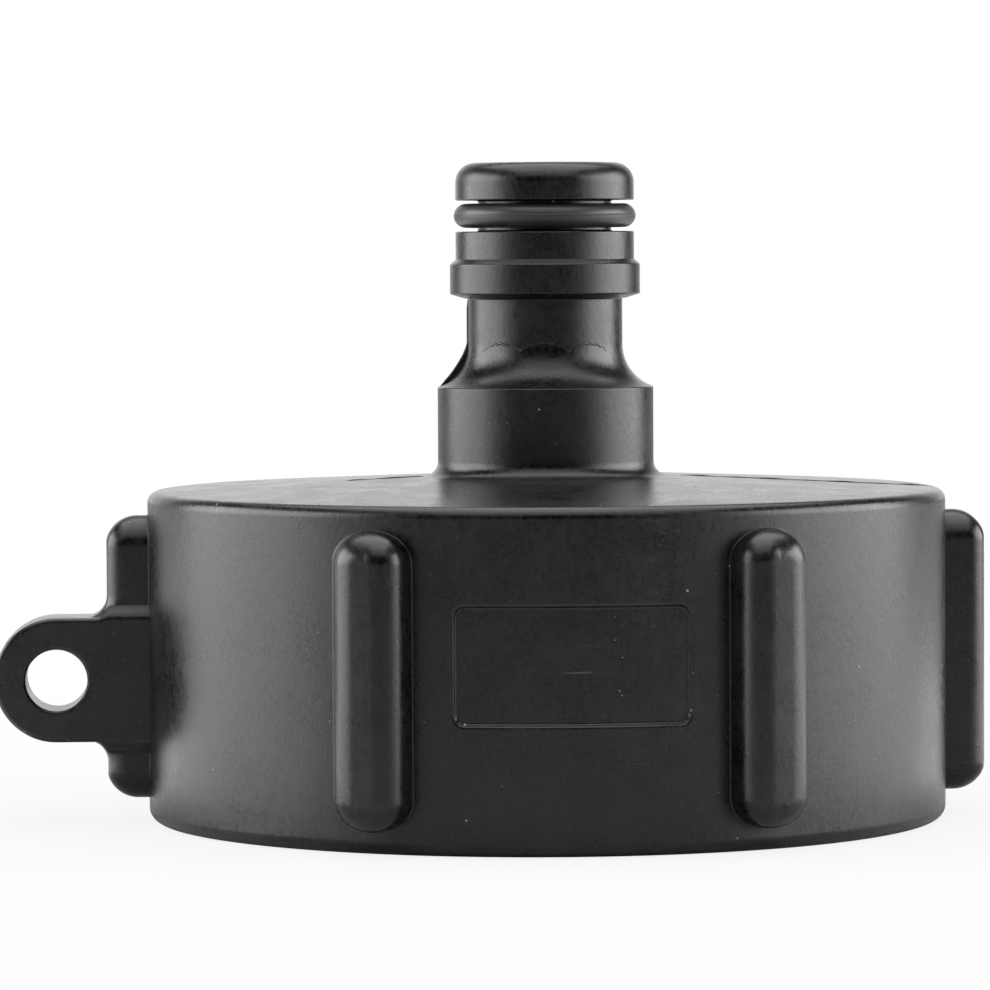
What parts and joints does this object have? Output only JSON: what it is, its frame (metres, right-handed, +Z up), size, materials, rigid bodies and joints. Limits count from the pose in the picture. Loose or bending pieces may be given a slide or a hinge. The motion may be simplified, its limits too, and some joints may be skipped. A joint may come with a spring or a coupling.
{
  "type": "tank outlet adapter",
  "caption": "Black moulded screw cap for a bulk liquid tank's coarse outlet thread, with a garden hose spigot on top, grip ribs round its wall and a tether ear.",
  "frame": {"origin": "on the common axis of the cap and spigot, in the plane of the cap's open rim, on which the part stands", "axes": "+Z up along the spigot towards its tip, -X towards the tether ear, -Y towards the bare panel"},
  "size_m": [0.0891, 0.0722, 0.0589],
  "materials": {
    "moulded_plastic": "semi-matt injection moulding with fine mottling, hairline scratches and dust",
    "seal_rubber": "smooth moulded nitrile rubber with a fine parting seam",
    "washer_rubber": "matt cut rubber sheet"
  },
  "bodies": {
    "root": {"adapter_body": "moulded_plastic", "spigot_o_ring": "seal_rubber", "sealing_washer": "washer_rubber"}
  },
  "joints": []
}
